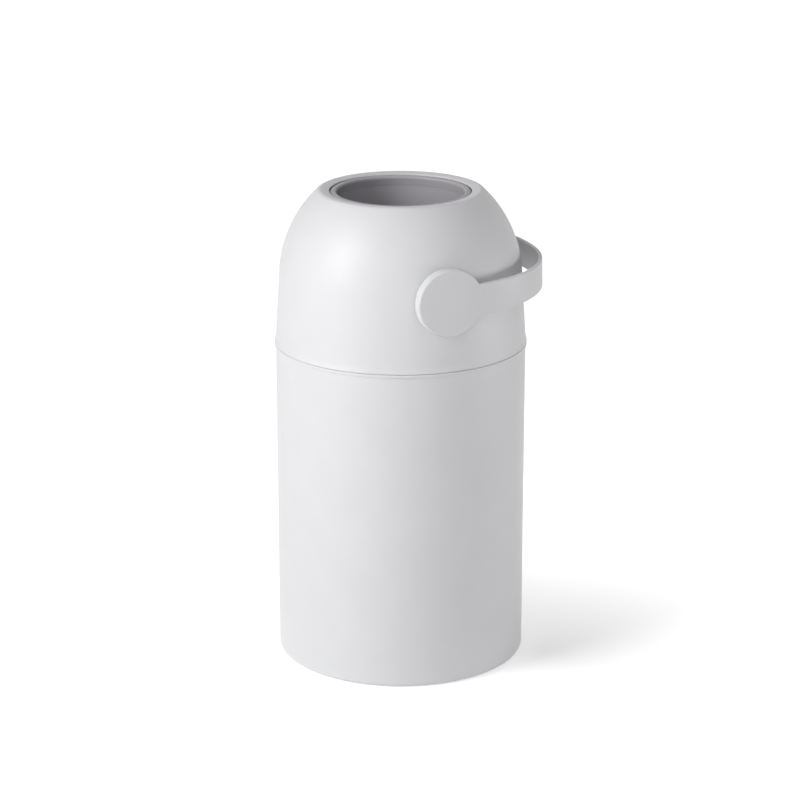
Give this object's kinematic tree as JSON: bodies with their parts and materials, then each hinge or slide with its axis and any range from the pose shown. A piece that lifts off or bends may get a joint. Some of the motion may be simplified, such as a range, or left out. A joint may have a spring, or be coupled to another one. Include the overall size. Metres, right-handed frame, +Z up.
{
  "type": "nappy bin",
  "caption": "Tall round nappy bin with a domed head, a turning drum with a well and a sliding piston, and a bowed carrying handle that turns the drum.",
  "frame": {"origin": "on the floor, on the axis of the round body", "axes": "+Z up along the body's axis; the drum's pivot lies along Y; the carrying handle reaches out along +X at rest"},
  "size_m": [0.297, 0.299, 0.5386],
  "materials": {
    "body_enamel": "satin powder coat",
    "white_moulding": "fine satin",
    "grey_moulding": "fine satin",
    "pan_steel": "pressed, zinc plated",
    "screw_steel": "zinc plated",
    "rubber": "matt"
  },
  "bodies": {
    "bin": {"body_shell": "body_enamel", "base_pan": "pan_steel", "foot_ring": "rubber", "collar_ring": "white_moulding", "collar_seal": "rubber"},
    "bag_ring": {"bag_ring": "grey_moulding"},
    "head": {"head_shell": "white_moulding", "drum_housing": "white_moulding", "housing_screws": "screw_steel", "mouth_seal": "rubber", "outlet_seal": "rubber", "bush_front": "grey_moulding", "bush_rear": "grey_moulding"},
    "drum": {"well_tube": "grey_moulding", "rim_ring_top": "grey_moulding", "rim_ring_bottom": "grey_moulding", "drum_shell_left": "grey_moulding", "drum_shell_right": "grey_moulding", "trunnion_front": "white_moulding", "trunnion_rear": "white_moulding", "trunnion_screws": "screw_steel", "handle": "white_moulding", "handle_screws": "screw_steel"},
    "piston": {"piston_plate_top": "grey_moulding", "piston_plate_bottom": "grey_moulding", "piston_wiper": "rubber"}
  },
  "joints": [
    {"name": "head_lift", "type": "slide", "parent": "bin", "child": "head", "axis": [0, 0, 1], "range_m": [0, 0.16]},
    {"name": "bag_ring_lift", "type": "slide", "parent": "bin", "child": "bag_ring", "axis": [0, 0, 1], "range_m": [0, 0.08]},
    {"name": "drum_turn", "type": "hinge", "parent": "head", "child": "drum", "pos_m": [0, 0, 0.445], "axis": [0, -1, 0], "range_deg": [0, 180]},
    {"name": "piston_slide", "type": "slide", "parent": "drum", "child": "piston", "axis": [0, 0, 1], "range_m": [0, 0.15834]}
  ],
  "couplings": [
    {"joint": "bag_ring_lift", "follows": "head_lift", "ratio": 0.5}
  ]
}
